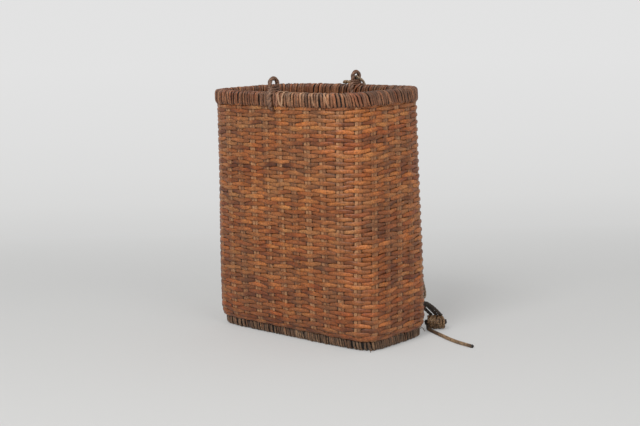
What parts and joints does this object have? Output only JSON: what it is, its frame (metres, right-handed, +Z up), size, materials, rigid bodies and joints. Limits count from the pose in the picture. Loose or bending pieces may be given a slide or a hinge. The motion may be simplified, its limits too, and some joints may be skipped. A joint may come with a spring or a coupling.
{
  "type": "woven carrying basket",
  "caption": "Tall rattan carrying basket: woven wall on upright stakes, wrapped rim and foot hoops, cane rings on the rim, and a knotted carrying cord behind.",
  "frame": {"origin": "middle of the basket on the surface that it stands on", "axes": "+Z up; +X along the wide sides, to the right as seen from the near one; the near wide side faces -Y; the cord is on the +Y side"},
  "size_m": [0.4672, 0.2554, 0.4458],
  "materials": {
    "woven_cane": "dry split cane, warm orange brown, close over-and-under weave",
    "stake_cane": "split cane, brown",
    "floor_cane": "woven split cane, brown",
    "rim_cane": "close wrapped cane strips, grey brown and tan",
    "foot_cane": "close wrapped cane strips, dark grey brown",
    "ring_cane": "bent cane, dark brown",
    "tan_cord": "twisted plant fibre, tan",
    "dark_cord": "twisted plant fibre, nearly black"
  },
  "bodies": {
    "root": {"stake_pair_01": "stake_cane", "stake_pair_02": "stake_cane", "stake_pair_03": "stake_cane", "stake_pair_04": "stake_cane", "stake_pair_05": "stake_cane", "stake_pair_06": "stake_cane", "stake_pair_07": "stake_cane", "stake_pair_08": "stake_cane", "stake_pair_09": "stake_cane", "stake_pair_10": "stake_cane", "stake_pair_11": "stake_cane", "stake_pair_12": "stake_cane", "stake_pair_13": "stake_cane", "stake_pair_14": "stake_cane", "stake_pair_15": "stake_cane", "stake_pair_16": "stake_cane", "stake_pair_17": "stake_cane", "stake_pair_18": "stake_cane", "stake_pair_19": "stake_cane", "stake_pair_20": "stake_cane", "stake_pair_21": "stake_cane", "stake_pair_22": "stake_cane", "stake_pair_23": "stake_cane", "stake_pair_24": "stake_cane", "stake_pair_25": "stake_cane", "stake_pair_26": "stake_cane", "stake_pair_27": "stake_cane", "stake_pair_28": "stake_cane", "stake_pair_29": "stake_cane", "stake_pair_30": "stake_cane", "stake_pair_31": "stake_cane", "stake_pair_32": "stake_cane", "woven_wall": "woven_cane", "base_panel": "floor_cane", "base_hoop": "foot_cane", "base_binding": "foot_cane", "rim_outer_hoop": "rim_cane", "rim_inner_hoop": "rim_cane", "rim_binding": "rim_cane", "front_ring": "ring_cane", "back_ring": "ring_cane", "carrying_cord": "tan_cord", "tie_strand_1": "dark_cord", "tie_strand_2": "dark_cord", "tie_strand_3": "dark_cord", "knot_wrapping": "tan_cord", "knot_core": "dark_cord", "cord_tail": "tan_cord"}
  },
  "joints": []
}
